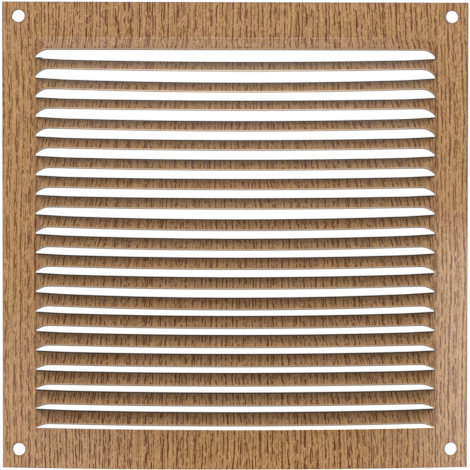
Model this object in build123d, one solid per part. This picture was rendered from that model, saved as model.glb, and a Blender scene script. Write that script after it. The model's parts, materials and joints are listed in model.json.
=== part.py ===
from build123d import *
import os
from math import asin, cos, floor, radians, sin, tan

# A square louvred wall vent, slit and pressed from one thin metal sheet.
# X runs to the right, Y into the wall and Z up, and the back of the border lies on the wall at Y = 0.
# The origin is the middle of the four screw holes, on the back of the sheet.
# Sizes are in millimetres and angles in degrees.

# Sheet
PLATE_WIDTH = 200.0
PLATE_HEIGHT = 200.0
SHEET = 0.7
# Pressing has pushed the lower border down by this much at mid-width.
LOWER_BORDER_BOW = 1.1

# Screw holes, placed from the edges of the sheet
HOLE_DIAMETER = 5.2
HOLE_SIDE_INSET = 7.0
HOLE_TOP_INSET = 6.1
HOLE_BOTTOM_INSET = 7.9

# Louvre field: the borders that stay flat, and the strips that the slits cut between them
SIDE_BORDER = 14.3
TOP_BORDER = 15.5
BOTTOM_BORDER = 17.2
STRIP_PITCH = 8.36
SLIT_KERF = 0.5

# Slats: turned about a line near their upper edge, so the lower edge stands forward and sheds rain
SLAT_TILT = 55.0
SLAT_SET_BACK = 0.4
SLAT_DROP = 0.3
# How far each slat has bent at mid-span, square to its own face, from the top slat down
SLAT_SAGS = (1.2, 1.8, 1.1, 1.6, 1.4, 1.5, 1.4, 1.3, 2.2, 2.2, 2.0, 2.1, 2.7, 2.1, 1.9, 1.7, 1.5, 1.7, 1.9)

# Hood: the top strip, still joined to the border along its fold
HOOD_TILT = 47.0

# Drawn ends: the lower edge curls forward from the slit's end, and the upper edge settles over a longer run
CURL_LENGTH = 6.5
SETTLE_LENGTH = 12.0
CURL_STEPS = 6
SPAN_STEPS = 4

# Places worked out from the sizes above
HOLE_SPAN_X = PLATE_WIDTH - 2 * HOLE_SIDE_INSET
HOLE_SPAN_Z = PLATE_HEIGHT - HOLE_TOP_INSET - HOLE_BOTTOM_INSET
PLATE_TOP = HOLE_SPAN_Z / 2 + HOLE_TOP_INSET
PLATE_BOTTOM = PLATE_TOP - PLATE_HEIGHT
HALF_SLIT = PLATE_WIDTH / 2 - SIDE_BORDER
FOLD_Z = PLATE_TOP - TOP_BORDER
STRIP_COUNT = floor((FOLD_Z - PLATE_BOTTOM - BOTTOM_BORDER) / STRIP_PITCH)
LAST_SLIT_Z = FOLD_Z - STRIP_COUNT * STRIP_PITCH
SLAT_WIDTH = STRIP_PITCH - SLIT_KERF
HOOD_WIDTH = STRIP_PITCH - SLIT_KERF / 2
SLAT_REACH = SLAT_WIDTH * sin(radians(SLAT_TILT)) - SLAT_SET_BACK


def bowed_panel(half_width, top, bottom):
    """A rectangle in the plane of the sheet whose lower edge bows down."""
    left_foot = (-half_width, bottom)
    right_foot = (half_width, bottom)
    lower_edge = ThreePointArc(left_foot, (0, bottom - LOWER_BORDER_BOW), right_foot)
    other_edges = Polyline(right_foot, (half_width, top), (-half_width, top), left_foot)
    return make_face([lower_edge, other_edges])


def flat_border():
    """The sheet's flat border, with its screw holes and one window for the louvre field."""
    outline = bowed_panel(PLATE_WIDTH / 2, PLATE_TOP, PLATE_BOTTOM)
    outline -= bowed_panel(HALF_SLIT, FOLD_Z + SHEET, LAST_SLIT_Z - SLIT_KERF / 2)
    outline -= GridLocations(HOLE_SPAN_X, HOLE_SPAN_Z, 2, 2) * Circle(HOLE_DIAMETER / 2)
    return extrude(Plane.XZ * outline, SHEET)


def settled(distance):
    """Share of the upper edge's full turn at a distance from the slit's end."""
    return min(1, distance / SETTLE_LENGTH)


def through_sheet(front, tilt):
    """The point (y, z) behind a point of a strip's front face, one sheet thickness in."""
    return (front[0] + SHEET * cos(tilt), front[1] - SHEET * sin(tilt))


def lower_edge_corners(upper_front, tilt, width):
    """The back and front corners (y, z) of a strip's lower edge, below its upper front corner."""
    front = (upper_front[0] - width * sin(tilt), upper_front[1] - width * cos(tilt))
    return [through_sheet(front, tilt), front]


class Hood:
    """The top strip, which meets the border just above its fold."""

    fold_front = (-SHEET, FOLD_Z)

    def upper_corners(self, distance):
        fold_back = (0, FOLD_Z - SHEET * tan(radians(HOOD_TILT) * settled(distance) / 2))
        return [self.fold_front, (-SHEET, FOLD_Z + SHEET), (0, FOLD_Z + SHEET), fold_back]

    def lower_corners(self, distance, lift):
        tilt = asin(sin(radians(HOOD_TILT)) * lift)
        return lower_edge_corners(self.fold_front, tilt, HOOD_WIDTH)


class Slat:
    """A strip cut free along both long edges, numbered from 1 below the hood."""

    def __init__(self, number):
        self.upper_z = FOLD_Z - number * STRIP_PITCH - SLIT_KERF / 2
        self.sag = SLAT_SAGS[(number - 1) % len(SLAT_SAGS)]

    def upper_front(self, distance):
        share = settled(distance)
        sag = self.sag * (1 - (1 - distance / HALF_SLIT) ** 2)
        y = SLAT_SET_BACK * share - SHEET + sag * cos(radians(SLAT_TILT))
        z = self.upper_z - SLAT_DROP * share - sag * sin(radians(SLAT_TILT))
        return (y, z)

    def upper_corners(self, distance):
        front = self.upper_front(distance)
        return [front, through_sheet(front, radians(SLAT_TILT) * settled(distance))]

    def lower_corners(self, distance, lift):
        tilt = asin((SLAT_REACH * lift + SLAT_SET_BACK * settled(distance)) / SLAT_WIDTH)
        return lower_edge_corners(self.upper_front(distance), tilt, SLAT_WIDTH)


def at_side(side, distance, corners):
    """Corners (y, z) as points, at a distance from the slit's left (side -1) or right (side 1) end."""
    return [Vector(side * (HALF_SLIT - distance), y, z) for y, z in corners]


def full_section(strip, side, distance):
    """A strip's section where it has its full tilt, as points round its outline."""
    corners = strip.upper_corners(distance) + strip.lower_corners(distance, 1)
    return at_side(side, distance, corners)


def facet(*points):
    """A flat face with the given corners."""
    return Face(Wire.make_polygon(points))


def fan(apex, edge):
    """Facets from one corner to each step of a bent edge."""
    return [facet(apex, *step) for step in zip(edge, edge[1:])]


def ribbon(near, far):
    """Facets between two bent edges with as many steps."""
    facets = []
    for near_step, far_step in zip(zip(near, near[1:]), zip(far, far[1:])):
        facets.append(facet(near_step[0], *far_step))
        facets.append(facet(*near_step, far_step[1]))
    return facets


def drawn_end(strip, side):
    """The facets of one end: curled in a fan about its upper corners, then settling to the full section."""
    upper = at_side(side, 0, strip.upper_corners(0))
    end_back, end_front = at_side(side, 0, strip.lower_corners(0, 0))
    front_edge = []
    back_edge = []
    for step in range(CURL_STEPS + 1):
        turn = radians(90 * step / CURL_STEPS)
        outer = CURL_LENGTH * (1 - cos(turn))
        inner = SHEET + (CURL_LENGTH - SHEET) * (1 - cos(turn))
        back_edge += at_side(side, inner, strip.lower_corners(inner, sin(turn)))[:1]
        front_edge += at_side(side, outer, strip.lower_corners(outer, sin(turn)))[1:]
    facets = [facet(*upper, end_back, end_front), facet(end_front, end_back, back_edge[0])]
    facets += fan(upper[0], front_edge)
    facets += fan(upper[-1], [end_back] + back_edge)
    facets += ribbon(front_edge, back_edge)
    curled = upper + [back_edge[-1], front_edge[-1]]
    full = full_section(strip, side, SETTLE_LENGTH)
    return facets + ribbon(curled + curled[:1], full + full[:1])


def long_span(strip):
    """The long faces between the drawn ends, ruled between the curves that the section's corners follow."""
    half_span = HALF_SLIT - SETTLE_LENGTH
    sections = []
    for step in range(SPAN_STEPS + 1):
        x = half_span * (2 * step / SPAN_STEPS - 1)
        side = 1 if x > 0 else -1
        sections.append(full_section(strip, side, HALF_SLIT - abs(x)))
    rails = [Edge.make_spline(points) for points in zip(*sections)]
    return [Face.make_surface_from_curves(*pair) for pair in zip(rails, rails[1:] + rails[:1])]


def pressed_strip(strip):
    """The solid of one strip, which meets the side borders at its two ends."""
    return Solid(Shell(drawn_end(strip, -1) + long_span(strip) + drawn_end(strip, 1)))


hood = pressed_strip(Hood())
slats = [pressed_strip(Slat(number)) for number in range(1, STRIP_COUNT)]
louvred_plate = flat_border().fuse(hood, *slats).clean()

os.makedirs("parts", exist_ok=True)
export_step(louvred_plate, "parts/louvred_plate.step")
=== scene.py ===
"""Dresses a square louvred wall vent: one thin oak-printed sheet, slit and pressed into slats."""
import json
from math import radians
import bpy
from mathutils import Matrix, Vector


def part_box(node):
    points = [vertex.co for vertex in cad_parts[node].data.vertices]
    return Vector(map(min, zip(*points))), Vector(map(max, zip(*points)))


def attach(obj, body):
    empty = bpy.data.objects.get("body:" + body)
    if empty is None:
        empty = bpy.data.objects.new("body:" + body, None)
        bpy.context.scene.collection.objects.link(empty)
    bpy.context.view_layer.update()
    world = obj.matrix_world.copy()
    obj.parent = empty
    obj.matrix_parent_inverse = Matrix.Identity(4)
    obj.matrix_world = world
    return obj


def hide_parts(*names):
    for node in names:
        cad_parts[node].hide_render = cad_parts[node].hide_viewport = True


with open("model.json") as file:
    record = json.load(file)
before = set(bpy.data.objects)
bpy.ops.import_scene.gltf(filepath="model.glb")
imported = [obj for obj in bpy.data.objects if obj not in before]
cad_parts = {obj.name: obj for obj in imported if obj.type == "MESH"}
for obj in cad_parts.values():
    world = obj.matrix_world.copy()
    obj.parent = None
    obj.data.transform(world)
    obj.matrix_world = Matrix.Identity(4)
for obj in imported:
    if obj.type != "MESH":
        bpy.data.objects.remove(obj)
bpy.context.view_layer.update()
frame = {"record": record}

from types import SimpleNamespace

import bpy
from bpy.props import FloatProperty, FloatVectorProperty, PointerProperty
from mathutils import Vector

bl_info = {
    "name": "Louvred Vent Sheet",
    "version": (1, 0, 0),
    "blender": (4, 5, 0),
    "location": "3D View > Sidebar > Vent",
    "description": "Builds a pressed, oak-printed louvred vent sheet and its studio",
    "category": "Object",
}

MM = 0.001
SHEET_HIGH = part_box("louvred_plate")[1]
SCREW_HOLES = next(mount for mount in frame["record"]["mounts"] if mount["name"] == "screw_holes")["dims"]
HOLE_X = SCREW_HOLES["spacing_x_mm"] / 2 * MM
HOLE_Z = SCREW_HOLES["spacing_y_mm"] / 2 * MM
HOLE_RADIUS = SCREW_HOLES["hole_r_mm"] * MM

# How far each slat has bent at mid-span, in millimetres, from the top slat down
SAGS = (
    1.2, 1.8, 1.1, 1.6, 1.4, 1.5, 1.4, 1.3, 2.2, 2.2, 2.0, 2.1, 2.7, 2.1, 1.9, 1.7, 1.5, 1.7, 1.9,
)

# Cells of the flat blank: half of the columns along a slit, the columns beside it, and the rows of a strip
SLIT_COLUMNS = 48
SIDE_COLUMNS = 3
STRIP_ROWS = 8
# How strongly the columns along a slit crowd towards its ends
COLUMN_CROWDING = 1.75
HOLE_STEPS = 48
# Runs over which the tag in the first slit rises and falls
TAG_START = 0.3 * MM
TAG_END = 1.0 * MM
# Slack for comparing places that should be equal, and for joining the parts of the flat blank
TOUCH = 1e-6
JOIN = 10 * TOUCH
# Edges that turn by more than this stay sharp
SHARP_TURN = radians(32)

# Where each lamp stands and how wide it is. All of them face the middle of the sheet.
LAMPS = {
    "top": ((-0.06, -0.36, 0.80), 0.48),
    "right": ((0.528, -1.2, -0.21), 0.40),
    "left": ((-0.36, -1.2, -0.36), 0.40),
    "low": ((0.0, -0.40, -0.45), 0.30),
    "back": ((0.30, 1.3, 0.72), 0.60),
}


def length(name, description, default):
    """A length in metres."""
    return FloatProperty(name=name, description=description, default=default, unit="LENGTH", precision=5)


def angle(name, description, default_degrees):
    """An angle, given in degrees and kept in radians."""
    default = radians(default_degrees)
    return FloatProperty(name=name, description=description, default=default, subtype="ANGLE")


def share(name, description, default):
    """A plain number from 0 to 1."""
    return FloatProperty(name=name, description=description, default=default, min=0, max=1, subtype="FACTOR")


def power(name, description, default):
    """A lamp's power in watts."""
    return FloatProperty(name=name, description=description, default=default, min=0, unit="POWER")


def colour(name, description, default):
    """A linear colour."""
    return FloatVectorProperty(
        name=name, description=description, default=default, min=0, max=1, subtype="COLOR"
    )


class VentSheetSizes(bpy.types.PropertyGroup):
    """Sizes of the sheet, its slits and its slats, with heights from the middle of the screw holes."""

    half_width: length("Half Width", "Half of the sheet's width", SHEET_HIGH.x)
    top: length("Top", "Height of the sheet's upper edge", SHEET_HIGH.z)
    bottom: length("Bottom", "Height of the sheet's lower corners", -100.9 * MM)
    lower_bow: length("Lower Bow", "How far the lower border bows down at mid-width", 1.05 * MM)
    thickness: length("Thickness", "Thickness of the sheet", 0.7 * MM)
    hole_x: length("Hole X", "Screw holes' distance from the middle, sideways", HOLE_X)
    hole_z: length("Hole Z", "Screw holes' distance from the middle, upwards", HOLE_Z)
    hole_radius: length("Hole Radius", "Radius of the screw holes", HOLE_RADIUS)
    hole_margin: length("Hole Margin", "Half of the square of sheet that holds a screw hole", 4.2 * MM)
    half_slit: length("Half Slit", "Half of a slit's length", 85.7 * MM)
    fold: length("Fold", "Height of the hood's fold", 83.6 * MM)
    fold_radius: length("Fold Radius", "Half of the height over which the hood's fold bends", 0.7 * MM)
    pitch: length("Pitch", "Distance from one slit to the next", 8.36 * MM)
    kerf: length("Kerf", "Width of a slit", 0.5 * MM)
    slat_tilt: angle("Slat Tilt", "Turn of the slats out of the sheet", 55)
    hood_tilt: angle("Hood Tilt", "Turn of the hood out of the sheet", 47)
    set_back: length("Set Back", "How far a slat's upper edge is pushed back", 0.4 * MM)
    drop: length("Drop", "How far a slat's upper edge is pushed down", 0.3 * MM)
    curl: length("Curl", "Run over which a slat's lower edge curls forward from the slit's end", 6.5 * MM)
    settle: length("Settle", "Run over which a slat reaches its full tilt", 12 * MM)
    tag_rise: length("Tag Rise", "Height of the tag at the first slit's left end", 0.42 * MM)
    tag_run: length("Tag Run", "Length of that tag", 2.9 * MM)
    sags: FloatVectorProperty(
        name="Sags",
        description="How far each slat has bent at mid-span, square to its face, from the top slat down",
        size=len(SAGS),
        default=[sag * MM for sag in SAGS],
        unit="LENGTH",
    )


class VentSheetFinish(bpy.types.PropertyGroup):
    """Colours of the printed face, the back and the cut edges."""

    yellow_tan: colour("Yellow Tan", "The print's yellower ground", (0.490, 0.286, 0.110))
    pink_tan: colour("Pink Tan", "The print's pinker ground", (0.514, 0.281, 0.134))
    pore_brown: colour("Pore Brown", "The print's pores", (0.110, 0.023, 0.001))
    # Slat haze and sheen: a pale grey veil over the drawn slats' print, mostly painted sheen with a little
    # bloom of the stretched lacquer
    slat_haze: colour("Slat Haze", "The faint bloom and painted sheen on the print of the drawn slats", (0.8, 0.8, 0.8))
    # Dull and shaded edge: the print dulled along the cut edges, with painted shade there; along the right
    # rim and at the top of each slat, under the slat above, it is mostly painted shade
    dull_edge: colour("Dull Edge", "The print dulled along the cut edges, with painted shade", (0.145, 0.097, 0.062))
    # Worn and lit edge: rubbed print with a painted highlight, where the lower edges of the hood and slats
    # catch the light
    worn_edge: colour("Worn Edge", "The print rubbed along the slats' lower edges, with a painted highlight", (0.640, 0.460, 0.310))
    back_grey: colour("Back Grey", "The plain coat on the back", (0.30, 0.295, 0.285))
    cut_metal: colour("Cut Metal", "Bare metal that the blade has rubbed bright", (0.50, 0.38, 0.28))
    torn_metal: colour("Torn Metal", "Bare metal that has torn off roughly", (0.28, 0.22, 0.17))


class VentStudio(bpy.types.PropertyGroup):
    """The camera, lamps and floor."""

    camera_place: FloatVectorProperty(
        name="Camera Place",
        description="Where the camera stands",
        default=(-3.70 * MM, -443.7 * MM, 4.6 * MM),
        subtype="XYZ",
        unit="LENGTH",
    )
    camera_turn: FloatVectorProperty(
        name="Camera Turn",
        description="How the camera is turned",
        default=(radians(89.304), radians(-0.054), radians(-0.451)),
        subtype="EULER",
        unit="ROTATION",
    )
    lens: FloatProperty(
        name="Lens", description="The camera's focal length in millimetres", default=78.93, unit="CAMERA"
    )
    floor_height: length("Floor Height", "Height of the floor under the vent", -0.62)
    floor_reach: length("Floor Reach", "Radius at which the floor has faded into the background", 1.0)
    top_power: power("Top Power", "The overhead lamp", 2.8)
    right_power: power("Right Power", "The lamp low at the right", 2.6)
    left_power: power("Left Power", "The lamp low at the left", 0.7)
    low_power: power("Low Power", "The lamp below the camera", 0.66)
    back_power: power("Back Power", "The lamp behind the vent", 14)
    ambient: share("Ambient", "Even light from the front", 0.745)
    ambient_behind: share("Ambient Behind", "Even light from behind", 0.06)


class Wire:
    """A node's output socket. Arithmetic on it adds Math nodes to its tree."""

    def __init__(self, socket):
        self.socket = socket

    def math(self, operation, *terms):
        """A Math node in the same tree."""
        nodes = Nodes(self.socket.id_data)
        return nodes.add("ShaderNodeMath", {"operation": operation}, dict(enumerate(terms)))

    def other(self, name):
        """Another output of the same node."""
        return Wire(self.socket.node.outputs[name])

    def __add__(self, term):
        return self.math("ADD", self, term)

    def __radd__(self, term):
        return self.math("ADD", term, self)

    def __sub__(self, term):
        return self.math("SUBTRACT", self, term)

    def __rsub__(self, term):
        return self.math("SUBTRACT", term, self)

    def __mul__(self, term):
        return self.math("MULTIPLY", self, term)

    def __rmul__(self, term):
        return self.math("MULTIPLY", term, self)

    def __truediv__(self, term):
        return self.math("DIVIDE", self, term)

    def __rtruediv__(self, term):
        return self.math("DIVIDE", term, self)

    def __pow__(self, term):
        return self.math("POWER", self, term)

    def __neg__(self):
        return self.math("MULTIPLY", self, -1.0)

    def __abs__(self):
        return self.math("ABSOLUTE", self)

    def __lt__(self, term):
        return self.math("LESS_THAN", self, term)

    def __gt__(self, term):
        return self.math("GREATER_THAN", self, term)

    def least(self, term):
        """The smaller of two values."""
        return self.math("MINIMUM", self, term)

    def most(self, term):
        """The larger of two values."""
        return self.math("MAXIMUM", self, term)

    def between(self, low, high):
        """The value kept from low to high."""
        return self.most(low).least(high)

    def whole(self):
        """The value rounded down."""
        return self.math("FLOOR", self)


class Nodes:
    """Adds nodes to one tree."""

    def __init__(self, tree):
        self.tree = tree

    def add(self, kind, settings=None, sockets=None, output=0):
        """One output of a node whose settings are made first and whose sockets then take values or wires."""
        node = self.tree.nodes.new(kind)
        for name, value in (settings or {}).items():
            if name == "items":
                while len(node.index_switch_items) < value:
                    node.index_switch_items.new()
            else:
                setattr(node, name, value)
        for name, value in (sockets or {}).items():
            socket = self.find(node.inputs, name)
            for item in value if isinstance(value, list) else [value]:
                if isinstance(item, Wire):
                    self.tree.links.new(item.socket, socket)
                else:
                    socket.default_value = item
        return Wire(self.find(node.outputs, output)) if node.outputs else None

    @staticmethod
    def find(sockets, name):
        """A socket by its place, or the one in use by its name."""
        if isinstance(name, int):
            return sockets[name]
        return next(socket for socket in sockets if socket.enabled and socket.name == name)

    def split(self, vector):
        """The three parts of a vector."""
        x = self.add("ShaderNodeSeparateXYZ", None, {"Vector": vector})
        return x, x.other("Y"), x.other("Z")

    def join(self, x, y, z=0.0):
        """A vector from three numbers."""
        return self.add("ShaderNodeCombineXYZ", None, {"X": x, "Y": y, "Z": z})

    def listed(self, index, values):
        """The value at a whole-numbered place in a short list."""
        sockets = {"Index": index + 0.5} | {str(place): value for place, value in enumerate(values)}
        return self.add("GeometryNodeIndexSwitch", {"data_type": "FLOAT", "items": len(values)}, sockets)

    def blend(self, factor, first, second):
        """A mix of two colours."""
        sockets = {"Factor": factor, "A": first, "B": second}
        return self.add("ShaderNodeMix", {"data_type": "RGBA"}, sockets, "Result")

    def noise(self, vector, scale=1.0, detail=1.0, roughness=0.5, dimensions="2D"):
        """Noise about 0.5."""
        sockets = {"Vector": vector, "Scale": scale, "Detail": detail, "Roughness": roughness}
        return self.add("ShaderNodeTexNoise", {"noise_dimensions": dimensions}, sockets, "Fac")

    def figure(self, x, height, cell, detail=1.0, roughness=0.5):
        """Noise in the flat sheet, with cells of a given width and height."""
        wide, high = cell
        return self.noise(self.join(x / wide, height / high), 1.0, detail, roughness)

    def flat_place(self):
        """Where a point of the sheet lay in the flat blank, across it and up it."""
        flat = self.add("ShaderNodeAttribute", {"attribute_name": "sheet_flat"}, None, "Vector")
        x, height, _ = self.split(flat)
        return x, height


def choose(condition, yes, no):
    """yes where the condition is 1 and no where it is 0."""
    return condition * yes + (1 - condition) * no


# The sheet's shape

PRESS_SIZES = (
    "half_width", "top", "bottom", "lower_bow", "thickness",
    "hole_x", "hole_z", "hole_radius", "hole_margin",
    "half_slit", "fold", "fold_radius", "pitch", "kerf",
    "slat_tilt", "hood_tilt", "set_back", "drop", "curl", "settle",
    "tag_rise", "tag_run",
)
PRESS_MATERIALS = ("Printed Face", "Plain Back", "Cut Edge")


class PressTree:
    """The node tree that lays out the flat blank, cuts its slits and holes, and presses and thickens it."""

    def __init__(self, strip_count):
        self.tree = bpy.data.node_groups.new("Pressed Louvre Sheet", "GeometryNodeTree")
        self.nodes = Nodes(self.tree)
        self.strip_count = strip_count
        self.identifiers = {}
        self.open_inputs()
        self.build()

    def open_inputs(self):
        """Give the tree a named input for the strips, each size and each material."""
        interface = self.tree.interface
        interface.new_socket("Strips", in_out="INPUT", socket_type="NodeSocketGeometry")
        labels = {name: VentSheetSizes.bl_rna.properties[name].name for name in PRESS_SIZES}
        for name, label in labels.items():
            socket = interface.new_socket(label, in_out="INPUT", socket_type="NodeSocketFloat")
            self.identifiers[name] = socket.identifier
        for name in PRESS_MATERIALS:
            socket = interface.new_socket(name, in_out="INPUT", socket_type="NodeSocketMaterial")
            self.identifiers[name] = socket.identifier
        interface.new_socket("Sheet", in_out="OUTPUT", socket_type="NodeSocketGeometry")
        first = self.nodes.add("NodeGroupInput")
        self.strips = first.other("Strips")
        self.size = SimpleNamespace(**{name: first.other(label) for name, label in labels.items()})
        self.material = {name: first.other(name) for name in PRESS_MATERIALS}

    def build(self):
        """Press the blank for the front, and close it with walls and a back."""
        nodes = self.nodes
        blank = self.flat_blank()
        here = nodes.add("GeometryNodeInputPosition")
        blank = nodes.add(
            "GeometryNodeStoreNamedAttribute",
            {"data_type": "FLOAT_VECTOR", "domain": "POINT"},
            {"Geometry": blank, "Name": "sheet_flat", "Value": here},
        )
        place, through = self.pressed()
        front = nodes.add("GeometryNodeSetPosition", None, {"Geometry": blank, "Position": place})
        walls = nodes.add(
            "GeometryNodeExtrudeMesh",
            {"mode": "FACES"},
            {"Mesh": front, "Offset Scale": 0.0, "Individual": False},
        )
        back, edge = walls.other("Top"), walls.other("Side")
        moved_back = {"Geometry": walls, "Selection": back, "Offset": through}
        shell = nodes.add("GeometryNodeSetPosition", None, moved_back)
        shell = nodes.add("GeometryNodeFlipFaces", None, {"Mesh": shell})
        shell = nodes.add(
            "GeometryNodeStoreNamedAttribute",
            {"data_type": "FLOAT", "domain": "POINT"},
            {"Geometry": shell, "Selection": back, "Name": "sheet_depth", "Value": 1.0},
        )
        sheet = nodes.add("GeometryNodeJoinGeometry", None, {"Geometry": [front, shell]})
        sheet = nodes.add("GeometryNodeMergeByDistance", None, {"Geometry": sheet, "Distance": TOUCH})
        sheet = nodes.add("GeometryNodeRealizeInstances", None, {"Geometry": sheet})
        for name, selection in zip(PRESS_MATERIALS, (True, back, edge)):
            sockets = {"Geometry": sheet, "Selection": selection, "Material": self.material[name]}
            sheet = nodes.add("GeometryNodeSetMaterial", None, sockets)
        nodes.add("NodeGroupOutput", None, {"Sheet": sheet})

    def last_slit(self):
        """Height of the lowest slit."""
        return self.size.fold - self.size.pitch * float(self.strip_count)

    def flat_blank(self):
        """The slit and pierced sheet before pressing, with X across it and Y up it."""
        nodes, size = self.nodes, self.size
        top_rows = [size.top, size.hole_z + size.hole_margin, size.hole_z - size.hole_margin]
        top_rows += [size.fold + size.fold_radius * rise for rise in (1.0, 0.5, 0.0)]
        top_rows += [size.fold - size.kerf * 0.5]
        low_rows = [self.last_slit() - size.kerf * 0.5]
        low_rows += [size.hole_margin - size.hole_z, -size.hole_z - size.hole_margin, size.bottom]
        borders = [self.border_band(top_rows), self.border_band(low_rows)]
        strips = nodes.add(
            "GeometryNodeInstanceOnPoints", None, {"Points": self.strips, "Instance": self.strip()}
        )
        strips = nodes.add("GeometryNodeRealizeInstances", None, {"Geometry": strips})
        parts = [*borders, strips, self.hole_squares()]
        blank = nodes.add("GeometryNodeJoinGeometry", None, {"Geometry": parts})
        return nodes.add("GeometryNodeMergeByDistance", None, {"Geometry": blank, "Distance": JOIN})

    def counted_grid(self, rows, height_of_row):
        """A flat grid across the whole sheet, whose columns crowd towards the slits' ends."""
        nodes, size = self.nodes, self.size
        across = 2 * (SLIT_COLUMNS + SIDE_COLUMNS)
        counts = {"Vertices X": across + 1, "Vertices Y": rows + 1}
        spans = {"Size X": float(across), "Size Y": float(rows)}
        grid = nodes.add("GeometryNodeMeshGrid", None, counts | spans)
        x, y, _ = nodes.split(nodes.add("GeometryNodeInputPosition"))
        column = abs(x)
        hole_columns = [size.hole_x - size.hole_margin, size.hole_x + size.hole_margin]
        side_columns = [size.half_slit, *hole_columns, size.half_width]
        beside = nodes.listed((column - SLIT_COLUMNS).most(0.0), side_columns)
        along = ((SLIT_COLUMNS - column).most(0.0) / SLIT_COLUMNS) ** COLUMN_CROWDING
        flat_x = (beside - size.half_slit * along) * x.math("SIGN", x)
        flat = nodes.join(flat_x, height_of_row(rows / 2 - y))
        return nodes.add("GeometryNodeSetPosition", None, {"Geometry": grid, "Position": flat})

    def cut_away(self, grid, selection):
        """The grid without its selected cells."""
        sockets = {"Geometry": grid, "Selection": selection}
        return self.nodes.add("GeometryNodeDeleteGeometry", {"domain": "FACE", "mode": "ALL"}, sockets)

    def strip(self):
        """One strip with the slit below it, hanging from its upper edge."""
        size = self.size
        wide = size.pitch - size.kerf

        def height(row):
            return -(row.least(STRIP_ROWS) / STRIP_ROWS * wide + (row - STRIP_ROWS).most(0.0) * size.kerf)

        grid = self.counted_grid(STRIP_ROWS + 1, height)
        x, y, _ = self.nodes.split(self.nodes.add("GeometryNodeInputPosition"))
        return self.cut_away(grid, (abs(x) < size.half_slit) * (-y > wide))

    def border_band(self, heights):
        """The border above or below the slits, without the squares of sheet that hold screw holes."""
        size = self.size
        grid = self.counted_grid(len(heights) - 1, lambda row: self.nodes.listed(row, heights))
        x, y, _ = self.nodes.split(self.nodes.add("GeometryNodeInputPosition"))
        beside_hole = abs(abs(x) - size.hole_x) < size.hole_margin
        level_with_hole = abs(abs(y) - size.hole_z) < size.hole_margin
        return self.cut_away(grid, beside_hole * level_with_hole)

    def hole_squares(self):
        """The four squares of sheet, each with a round screw hole."""
        nodes, size = self.nodes, self.size
        side = size.hole_margin * 2.0
        square = nodes.add("GeometryNodeCurvePrimitiveQuadrilateral", None, {"Width": side, "Height": side})
        circle = nodes.add(
            "GeometryNodeCurvePrimitiveCircle", None, {"Resolution": HOLE_STEPS, "Radius": size.hole_radius}
        )
        outline = nodes.add("GeometryNodeJoinGeometry", None, {"Geometry": [square, circle]})
        pierced = nodes.add("GeometryNodeFillCurve", None, {"Curve": outline})
        corners = nodes.add(
            "GeometryNodeMeshGrid",
            None,
            {"Size X": size.hole_x * 2.0, "Size Y": size.hole_z * 2.0, "Vertices X": 2, "Vertices Y": 2},
        )
        squares = nodes.add("GeometryNodeInstanceOnPoints", None, {"Points": corners, "Instance": pierced})
        return nodes.add("GeometryNodeRealizeInstances", None, {"Geometry": squares})

    def pressed(self):
        """Where each point of the flat blank goes, and the way from there through the sheet to its back."""
        nodes, size = self.nodes, self.size
        flat = nodes.add(
            "GeometryNodeInputNamedAttribute", {"data_type": "FLOAT_VECTOR"}, {"Name": "sheet_flat"}
        )
        x, height, _ = nodes.split(flat)
        end_gap = (size.half_slit - abs(x)).most(0.0)
        last_slit = self.last_slit()
        moved = (end_gap > TOUCH) * (height > last_slit) * (height < size.fold + size.fold_radius)

        # The hood is strip 0, and the slats are numbered from 1 down.
        number = ((size.fold - size.kerf * 0.5 - height + TOUCH) / size.pitch).whole().most(0.0)
        slat = number.least(1.0)
        sags = nodes.add("GeometryNodeInputNamedAttribute", {"data_type": "FLOAT"}, {"Name": "sag"})
        sag = nodes.add(
            "GeometryNodeSampleIndex",
            {"data_type": "FLOAT", "domain": "POINT"},
            {"Geometry": self.strips, "Value": sags, "Index": number + 0.5},
        )

        upper = size.fold - number * size.pitch - slat * size.kerf * 0.5
        wide = size.pitch - size.kerf * (slat * 0.5 + 0.5)
        set_back = size.set_back * slat
        drop = size.drop * slat
        tilt = choose(slat, size.slat_tilt, size.hood_tilt)
        tilt_sine = tilt.math("SINE", tilt)
        tilt_cosine = tilt.math("COSINE", tilt)
        reach = wide * tilt_sine - set_back

        # The hood leaves the border round a bend, and a slat starts at its own cut edge.
        down = upper - height
        bend = size.fold_radius
        bent = (down + bend).between(0.0, bend * 2.0) ** 2.0 / (bend * 4.0) + (down - bend).most(0.0)
        run = choose(slat, down, bent)
        part = run / wide

        # A line down the strip meets its edges at lower_at and upper_at from the slit's end.
        fan_share = size.settle / (size.settle - size.curl)
        fanned = end_gap / part.most(TOUCH)
        rest = (1 - part) * fan_share
        settling = (end_gap + rest * size.curl) / (rest + part)
        in_settling = end_gap < size.settle
        lower_at = choose(end_gap < part * size.curl, fanned, choose(in_settling, settling, end_gap))
        upper_at = choose(in_settling, (fan_share * (lower_at - size.curl)).most(0.0), end_gap)

        def settled(gap):
            return (gap / size.settle).least(1.0)

        def sagged(gap):
            return sag * (1 - (1 - gap / size.half_slit) ** 2.0)

        curl_left = 1 - (lower_at / size.curl).least(1.0)
        lift = (1 - curl_left * curl_left) ** 0.5
        turn = (reach * lift + set_back * settled(lower_at)) / wide
        hang = wide * (1 - turn * turn) ** 0.5
        upper_y = set_back * settled(upper_at) + sagged(upper_at) * tilt_cosine - size.thickness
        upper_z = upper - drop * settled(upper_at) - sagged(upper_at) * tilt_sine
        lower_y = sagged(lower_at) * tilt_cosine - reach * lift - size.thickness
        lower_z = upper - drop * settled(lower_at) - sagged(lower_at) * tilt_sine - hang

        # The first slit was not cut clean at its left end, and left a tag on the slat below it.
        tagged = slat * (number < 1.5) * (x < 0.0) * (upper_at / TAG_START).least(1.0)
        tag = ((size.tag_run - upper_at) / TAG_END + 0.5).between(0.0, 1.0) * tagged
        upper_z = upper_z + tag * size.tag_rise
        slope_y = lower_y - upper_y
        slope_z = lower_z - upper_z

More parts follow.
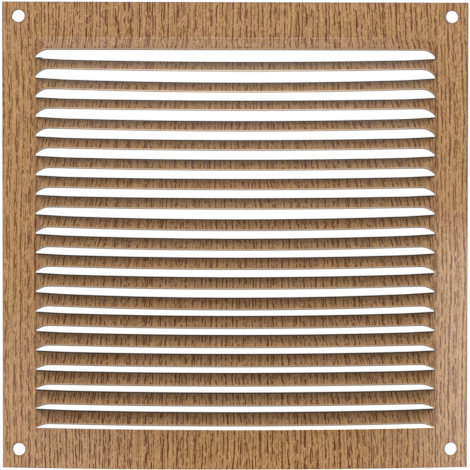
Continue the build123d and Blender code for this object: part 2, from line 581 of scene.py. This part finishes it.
        # The lower border bows down, over a slit's length at its top and its whole width at its foot.
        below = (last_slit - height).most(0.0)
        bow_half = size.half_slit + below / (last_slit - size.bottom) * (size.half_width - size.half_slit)
        bow = size.lower_bow * (below > 0.0) * (1 - (x / bow_half) ** 2.0).most(0.0)
        y = choose(moved, upper_y + part * slope_y, -size.thickness)
        z = choose(moved, upper_z + part * slope_z - (down - run), height - bow)

        steep = (slope_y * slope_y + slope_z * slope_z) ** 0.5
        turned = moved * choose(slat, 1.0, ((down + bend) / (bend * 2.0)).between(0.0, 1.0))
        through_y = 1 + turned * (-slope_z / steep - 1)
        through_z = turned * slope_y / steep
        through = nodes.join(0.0, through_y * size.thickness, through_z * size.thickness)
        return nodes.join(x, y, z), through


def strip_points(sizes):
    """One point for the hood and each slat, at its upper edge in the flat sheet, with its sag."""
    sags = [0.0, *sizes.sags]
    mesh = bpy.data.meshes.new("strip_points")
    tops = [sizes.fold - sizes.kerf / 2 - number * sizes.pitch for number in range(len(sags))]
    mesh.from_pydata([(0, top, 0) for top in tops], [], [])
    mesh.attributes.new("sag", "FLOAT", "POINT").data.foreach_set("value", sags)
    return mesh


def pressed_sheet_mesh(sizes, materials):
    """The finished sheet as a plain mesh."""
    points = strip_points(sizes)
    guide = bpy.data.objects.new("sheet_guide", points)
    bpy.context.scene.collection.objects.link(guide)
    press = PressTree(len(points.vertices))
    modifier = guide.modifiers.new("Press", "NODES")
    modifier.node_group = press.tree
    for name in PRESS_SIZES:
        modifier[press.identifiers[name]] = getattr(sizes, name)
    for name, material in zip(PRESS_MATERIALS, materials):
        modifier[press.identifiers[name]] = material
    evaluated = guide.evaluated_get(bpy.context.evaluated_depsgraph_get())
    mesh = bpy.data.meshes.new_from_object(evaluated)
    guide.modifiers.remove(modifier)
    bpy.data.objects.remove(guide)
    bpy.data.meshes.remove(points)
    mesh.shade_smooth()
    mesh.set_sharp_from_angle(angle=SHARP_TURN)
    return mesh


# The sheet's finish

# Cells of the print's figure, across the grain and along it
SWAY_CELL = (40 * MM, 70 * MM)
RIPPLE_CELL = (3 * MM, 9 * MM)
ZONE_CELL = (3.5 * MM, 12 * MM)
STREAK_CELL = (0.9 * MM, 11 * MM)
MOTTLE_CELL = (0.6 * MM, 1 * MM)
# How far the grain sways and ripples sideways
SWAY_REACH = 4 * MM
RIPPLE_REACH = 0.4 * MM
# How strongly the two grounds part, and how the ground is shaded towards the pores' brown
TINT_CONTRAST = 2.0
GROUND_SHADE = 0.17
STREAK_SHADE = 0.9

# Sets of pores: spacing of their columns, length of a run, half of a pore's width, and strength
PORE_SETS = (
    (3.1 * MM, 6.4 * MM, 0.34 * MM, 1.0),
    (2.4 * MM, 4.5 * MM, 0.30 * MM, 0.9),
    (1.5 * MM, 2.5 * MM, 0.24 * MM, 0.6),
)
# Odd steps from column to column and from set to set, which keep their noise unlike
CHANCE_STEP = 31.7
PRESENCE_STEPS = (5.37, 0.71)
WANDER_STEPS = (3.19, 1.37)
# Where a pore may lie in its column: its least place, its spread, and how far it wanders
PORE_PLACE = 0.2
PORE_SPREAD = 0.6
PORE_WANDER = 0.35
# The noise at which a pore starts, and the rise over which it reaches full strength
PORE_FROM = 0.40
PORE_RISE = 0.12
# Pores are weaker in the side borders: where that starts, the run over which it grows, and by how much
BORDER_FROM = 84 * MM
BORDER_RUN = 6 * MM
BORDER_CALM = 0.15

# Dull print with painted shade along the sheet's rim, a stronger painted shade along the rim's right side,
# and dull print with painted shade round the screw holes: width and strength
RIM_DULL_AND_SHADE = (1.0 * MM, 0.35)
RIGHT_RIM_DULL_AND_SHADE = (1.15 * MM, 0.8)
HOLE_DULL_AND_SHADE = (1.1 * MM, 0.85)
# Painted shade with some dull print below a slit, at the top of the slat that the slat above shades: how far
# it reaches, and the run over which it fades there
SLIT_DULL_AND_SHADE_REACH = 1.1 * MM
SLIT_DULL_AND_SHADE_FADE = MM / 3
# Width of the rubbed print with a painted highlight above a slit
WORN_AND_LIT_REACH = 0.6 * MM
# How much of the haze and painted sheen, the dull tone with its painted shade and the worn tone with its
# painted highlight the print takes
HAZE_AND_SHEEN_SHARE = 0.020
DULL_AND_SHADE_SHARE = 0.95
WORN_AND_LIT_SHARE = 0.68

# The print's gloss, and the height of its grain
PRINT_ROUGHNESS = 0.13
PRINT_ROUGHNESS_CHANGE = 0.05
PRINT_SPECULAR = 0.38
GRAIN_HEIGHT = 0.05 * MM
GRAIN_STRENGTH = 0.2

# Cells of the rolling marks and clouds on the back, how strong and how dark they are, and the back's gloss
ROLLED_CELL = (0.8 * MM, 80 * MM)
CLOUD_CELL = (30 * MM, 50 * MM)
BACK_CONTRAST = 0.8
BACK_TONE = 0.4
BACK_DARK = 0.86
BACK_ROUGHNESS = 0.5
BACK_ROUGHNESS_CHANGE = 0.2

# Noise scales on the cut edges
RAGGED_SCALE = 900.0
MARKS_SCALE = 4000.0
# How deep in the sheet the cut turns into a tear, how ragged that line is, and how soft
TEAR_FROM = 0.55
TEAR_RAGGED = 0.3
TEAR_RUN = 0.12
# Roughness of the cut, how much rougher the tear is, and how it changes along the edge
CUT_ROUGHNESS = 0.30
TEAR_ROUGHER = 0.30
CUT_ROUGHNESS_CHANGE = 0.2


def new_material(name):
    """A material with no nodes yet, and what adds them."""
    material = bpy.data.materials.new(name)
    material.use_nodes = True
    material.node_tree.nodes.clear()
    return material, Nodes(material.node_tree)


def finish_material(nodes, shader):
    """Lead a shader to the material's output."""
    nodes.add("ShaderNodeOutputMaterial", None, {"Surface": shader})


def pore_lines(nodes, x, height, spacing, run, half_width, seed):
    """Printed pores: thin broken lines along the grain, one to a column, that wander and come and go."""
    column = (x / spacing).whole()

    def column_noise(steps, detail, roughness):
        place = column * steps[0] + seed * steps[1]
        return nodes.noise(nodes.join(place, height / run), 1.0, detail, roughness)

    chance = nodes.add(
        "ShaderNodeTexWhiteNoise", {"noise_dimensions": "1D"}, {"W": column + seed * CHANCE_STEP}, "Value"
    )
    presence = column_noise(PRESENCE_STEPS, 2.0, 0.6)
    wander = column_noise(WANDER_STEPS, 1.0, 0.5)
    middle = (column + PORE_PLACE + chance * PORE_SPREAD + (wander - 0.5) * PORE_WANDER) * spacing
    strength = ((presence - PORE_FROM) / PORE_RISE).between(0.0, 1.0)
    # A pore narrows to half of its width as it fades, and its sides are soft.
    inside = (strength * 0.5 + 0.5) * half_width - abs(x - middle)
    return (inside / (half_width * 0.5)).between(0.0, 1.0) * strength


def edge_band(distance, width, strength):
    """A band along an edge, strongest at the edge."""
    return (1 - distance / width) * strength


def edge_wear(sizes, x, height):
    """How dull and shaded the print is along cut edges, with painted shade strongest along the right rim and
    below a slit, how worn it is above a slit, with a painted highlight there, and where it is drawn.
    """
    rim = (sizes.half_width + x).least(sizes.top - height).least(height - sizes.bottom)
    right_rim = sizes.half_width - x
    hole_x = abs(x) - sizes.hole_x
    hole_z = abs(height) - sizes.hole_z
    hole = abs((hole_x * hole_x + hole_z * hole_z) ** 0.5 - sizes.hole_radius)
    steps = (sizes.fold - height) / sizes.pitch
    past_slit = (steps - steps.math("ROUND", steps)) * sizes.pitch
    drawn = (steps > 0.5) * (steps < len(sizes.sags) + 1.0) * (abs(x) < sizes.half_slit)
    below_slit = choose(drawn * (past_slit > 0.0), past_slit - sizes.kerf / 2, 1.0)
    above_slit = choose(drawn * (past_slit < 0.0), -past_slit - sizes.kerf / 2, 1.0)
    # Dull print with painted shade along the rim and round the holes, and a stronger painted shade along the
    # right rim and below each slit
    dull_and_shade = edge_band(rim, *RIM_DULL_AND_SHADE).most(edge_band(right_rim, *RIGHT_RIM_DULL_AND_SHADE))
    dull_and_shade = dull_and_shade.most(edge_band(hole, *HOLE_DULL_AND_SHADE)).most((SLIT_DULL_AND_SHADE_REACH - below_slit) / SLIT_DULL_AND_SHADE_FADE)
    # Rubbed print with a painted highlight along the lower edges of the hood and slats, just above each slit
    worn_and_lit = edge_band(above_slit, WORN_AND_LIT_REACH, 1.0)
    return dull_and_shade.between(0.0, 1.0), worn_and_lit.most(0.0), drawn


def printed_face_material(finish, sizes):
    """The oak print on the front, which follows the sheet's flat pattern over the slats."""
    material, nodes = new_material("oak_print")
    x, height = nodes.flat_place()
    sway = nodes.figure(x, height, SWAY_CELL)
    ripple = nodes.figure(x, height, RIPPLE_CELL)
    grain_x = x + (sway - 0.5) * SWAY_REACH + (ripple - 0.5) * RIPPLE_REACH

    zone = nodes.figure(grain_x, height, ZONE_CELL)
    streak = nodes.figure(grain_x, height, STREAK_CELL, 2.0)
    mottle = nodes.figure(x, height, MOTTLE_CELL)
    pores = 0.0
    for seed, (spacing, run, half_width, strength) in enumerate(PORE_SETS, 1):
        lines = pore_lines(nodes, grain_x, height, spacing, run, half_width, seed)
        pores = (lines * strength).most(pores)

    tint = ((zone - 0.5) * TINT_CONTRAST + 0.5).between(0.0, 1.0)
    ground = nodes.blend(tint, (*finish.yellow_tan, 1), (*finish.pink_tan, 1))
    shade = (GROUND_SHADE - (streak - 0.5) * STREAK_SHADE - (mottle - 0.5)).between(0.0, 1.0)
    calm = ((abs(x) - BORDER_FROM) / BORDER_RUN).between(0.0, 1.0) * BORDER_CALM
    dark = 1 - (1 - shade) * (1 - pores * (1 - calm))
    base = nodes.blend(dark, ground, (*finish.pore_brown, 1))
    dull_and_shade, worn_and_lit, drawn = edge_wear(sizes, x, height)
    # Painted sheen: a faint pale grey veil over the drawn slats' print, with a little bloom of the lacquer
    base = nodes.blend(drawn * HAZE_AND_SHEEN_SHARE, base, (*finish.slat_haze, 1))
    # Dull print and painted shade along the cut edges, strongest along the right rim and below each slit
    base = nodes.blend(dull_and_shade * DULL_AND_SHADE_SHARE, base, (*finish.dull_edge, 1))
    # Rubbed print with a painted highlight along the lower edges of the hood and slats
    base = nodes.blend(worn_and_lit * WORN_AND_LIT_SHARE, base, (*finish.worn_edge, 1))
    roughness = PRINT_ROUGHNESS + (mottle - 0.5 + pores) * PRINT_ROUGHNESS_CHANGE
    relief = nodes.add(
        "ShaderNodeBump",
        None,
        {"Strength": GRAIN_STRENGTH, "Distance": GRAIN_HEIGHT, "Height": streak - pores},
    )
    shader = nodes.add(
        "ShaderNodeBsdfPrincipled",
        None,
        {"Base Color": base, "Roughness": roughness, "Normal": relief, "Specular IOR Level": PRINT_SPECULAR},
    )
    finish_material(nodes, shader)
    return material


def plain_back_material(finish):
    """The plain coat on the back, with faint rolling marks along the grain."""
    material, nodes = new_material("grey_back_coat")
    x, height = nodes.flat_place()
    rolled = nodes.figure(x, height, ROLLED_CELL, 3.0, 0.6)
    cloud = nodes.figure(x, height, CLOUD_CELL, 2.0)
    darker = tuple(value * BACK_DARK for value in finish.back_grey)
    tone = ((rolled + cloud - 1.0) * BACK_CONTRAST + BACK_TONE).between(0.0, 1.0)
    base = nodes.blend(tone, (*finish.back_grey, 1), (*darker, 1))
    roughness = BACK_ROUGHNESS + (rolled - 0.5) * BACK_ROUGHNESS_CHANGE
    shader = nodes.add("ShaderNodeBsdfPrincipled", None, {"Base Color": base, "Roughness": roughness})
    finish_material(nodes, shader)
    return material


def cut_edge_material(finish):
    """Bare sheared metal: bright next to the print, where the blade rubbed it, and rough behind."""
    material, nodes = new_material("sheared_edge")
    depth = nodes.add("ShaderNodeAttribute", {"attribute_name": "sheet_depth"}, None, "Fac")
    place = nodes.add("ShaderNodeTexCoord", None, None, "Object")
    ragged = nodes.noise(place, RAGGED_SCALE, 3.0, 0.6, "3D")
    marks = nodes.noise(place, MARKS_SCALE, 2.0, 0.6, "3D")
    torn = ((depth - TEAR_FROM + (ragged - 0.5) * TEAR_RAGGED) / TEAR_RUN).between(0.0, 1.0)
    base = nodes.blend(torn, (*finish.cut_metal, 1), (*finish.torn_metal, 1))
    roughness = CUT_ROUGHNESS + torn * TEAR_ROUGHER + (marks - 0.5) * CUT_ROUGHNESS_CHANGE
    shader = nodes.add(
        "ShaderNodeBsdfPrincipled", None, {"Base Color": base, "Roughness": roughness, "Metallic": 1.0}
    )
    finish_material(nodes, shader)
    return material


class VENT_OT_sheet(bpy.types.Operator):
    """Build the pressed sheet with its printed face, plain back and cut edges"""

    bl_idname = "vent.sheet"
    bl_label = "Pressed Louvre Sheet"

    def execute(self, context):
        scene = context.scene
        finish = scene.vent_sheet_finish
        sizes = scene.vent_sheet_sizes
        face = printed_face_material(finish, sizes)
        mesh = pressed_sheet_mesh(sizes, (face, plain_back_material(finish), cut_edge_material(finish)))
        mesh.name = "printed_louvre_sheet"
        sheet = bpy.data.objects.new("printed_louvre_sheet", mesh)
        scene.collection.objects.link(sheet)
        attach(sheet, "root")
        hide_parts("louvred_plate")
        return {"FINISHED"}


# The studio

# Share of the floor's reach at which it starts to fade, and its colour
FLOOR_FADE_FROM = 0.5
FLOOR_WHITE = (0.92, 0.92, 0.92, 1)
# How quickly the soft light falls off from the front to the back, and how much less of it comes from above
FRONT_TURN = 2.5
LEAN_FROM_BELOW = 0.40
# In reflections the front is darker towards the ground, and a pale backdrop starts behind the sheet.
LEVEL_SHARE = 0.75
LEVEL_RISE = 3.0
BACKDROP_FROM = 0.30
BACKDROP_RUN = 0.40
SENSOR_WIDTH = 36
NEAREST_SEEN = 0.01


def floor_material(studio):
    """A pale floor that fades into the background."""
    material, nodes = new_material("pale_floor")
    x, y, _ = nodes.split(nodes.add("ShaderNodeTexCoord", None, None, "Object"))
    distance = (x * x + y * y) ** 0.5 / studio.floor_reach
    fade = nodes.add(
        "ShaderNodeMapRange",
        {"interpolation_type": "SMOOTHSTEP"},
        {"Value": distance, "From Min": FLOOR_FADE_FROM},
    )
    pale = nodes.add("ShaderNodeBsdfDiffuse", None, {"Color": FLOOR_WHITE})
    clear = nodes.add("ShaderNodeBsdfTransparent")
    finish_material(nodes, nodes.add("ShaderNodeMixShader", None, {0: fade, 1: pale, 2: clear}))
    return material


def add_floor(studio):
    """A square of floor under the vent."""
    reach = studio.floor_reach
    corners = [(-reach, -reach, 0), (reach, -reach, 0), (reach, reach, 0), (-reach, reach, 0)]
    mesh = bpy.data.meshes.new("floor")
    mesh.from_pydata(corners, [], [(0, 1, 2, 3)])
    mesh.materials.append(floor_material(studio))
    floor = bpy.data.objects.new("floor", mesh)
    floor.location.z = studio.floor_height
    bpy.context.scene.collection.objects.link(floor)


def add_lamp(name, place, size, watts):
    """A soft square lamp that faces the middle of the sheet."""
    lamp = bpy.data.lights.new(name, "AREA")
    lamp.size = size
    lamp.energy = watts
    holder = bpy.data.objects.new(name, lamp)
    holder.location = place
    holder.rotation_euler = (Vector() - Vector(place)).to_track_quat("-Z", "Y").to_euler()
    bpy.context.scene.collection.objects.link(holder)


def light_world(studio):
    """White where it is seen directly, a soft light from the front, and a pale backdrop in reflections."""
    world = bpy.data.worlds.new("white_studio")
    world.use_nodes = True
    world.node_tree.nodes.clear()
    nodes = Nodes(world.node_tree)
    ray = nodes.add("ShaderNodeLightPath", None, None, "Is Camera Ray")
    seen = ray.most(ray.other("Is Transmission Ray"))
    _, depth, rise = nodes.split(nodes.add("ShaderNodeTexCoord", None, None, "Generated"))
    front = (0.5 - depth * FRONT_TURN).between(0.0, 1.0)
    soft = choose(front, studio.ambient, studio.ambient_behind)
    level = (LEVEL_SHARE + rise * LEVEL_RISE).between(0.0, 1.0)
    backdrop = ((depth - BACKDROP_FROM) / BACKDROP_RUN).between(0.0, 1.0)
    unseen = choose(ray.other("Is Glossy Ray"), soft * level + backdrop, soft * (1 - rise * LEAN_FROM_BELOW))
    strength = choose(seen, 1.0, unseen)
    sky = nodes.add("ShaderNodeBackground", None, {"Color": (1, 1, 1, 1), "Strength": strength})
    nodes.add("ShaderNodeOutputWorld", None, {"Surface": sky})
    bpy.context.scene.world = world


def add_camera(studio):
    """The camera at the photograph's viewing angle."""
    camera = bpy.data.cameras.new("photo_camera")
    camera.lens = studio.lens
    camera.sensor_width = SENSOR_WIDTH
    camera.clip_start = NEAREST_SEEN
    holder = bpy.data.objects.new("photo_camera", camera)
    holder.location = studio.camera_place
    holder.rotation_euler = studio.camera_turn
    bpy.context.scene.collection.objects.link(holder)
    bpy.context.scene.camera = holder


class VENT_OT_studio(bpy.types.Operator):
    """Build the floor, lamps, white background and camera"""

    bl_idname = "vent.studio"
    bl_label = "Studio"

    def execute(self, context):
        studio = context.scene.vent_studio
        add_floor(studio)
        for name, (place, size) in LAMPS.items():
            add_lamp(f"{name}_lamp", place, size, getattr(studio, f"{name}_power"))
        light_world(studio)
        add_camera(studio)
        context.scene.view_settings.view_transform = "Standard"
        return {"FINISHED"}


class VENT_PT_panel(bpy.types.Panel):
    """Lists the vent's pieces and settings"""

    bl_idname = "VENT_PT_panel"
    bl_label = "Louvred Vent Sheet"
    bl_space_type = "VIEW_3D"
    bl_region_type = "UI"
    bl_category = "Vent"

    def draw(self, context):
        for group in GROUPS:
            settings = getattr(context.scene, group)
            for name in settings.bl_rna.properties.keys():
                if name not in ("rna_type", "name"):
                    self.layout.prop(settings, name)
        for operator in (VENT_OT_sheet, VENT_OT_studio):
            self.layout.operator(operator.bl_idname)


GROUPS = {
    "vent_sheet_sizes": VentSheetSizes,
    "vent_sheet_finish": VentSheetFinish,
    "vent_studio": VentStudio,
}
CLASSES = (*GROUPS.values(), VENT_OT_sheet, VENT_OT_studio, VENT_PT_panel)


def register():
    for item in CLASSES:
        bpy.utils.register_class(item)
    for name, group in GROUPS.items():
        setattr(bpy.types.Scene, name, PointerProperty(type=group))


def unregister():
    for name in GROUPS:
        delattr(bpy.types.Scene, name)
    for item in reversed(CLASSES):
        bpy.utils.unregister_class(item)


def main():
    register()
    bpy.ops.vent.sheet()
    bpy.ops.vent.studio()


if __name__ == "__main__":
    main()
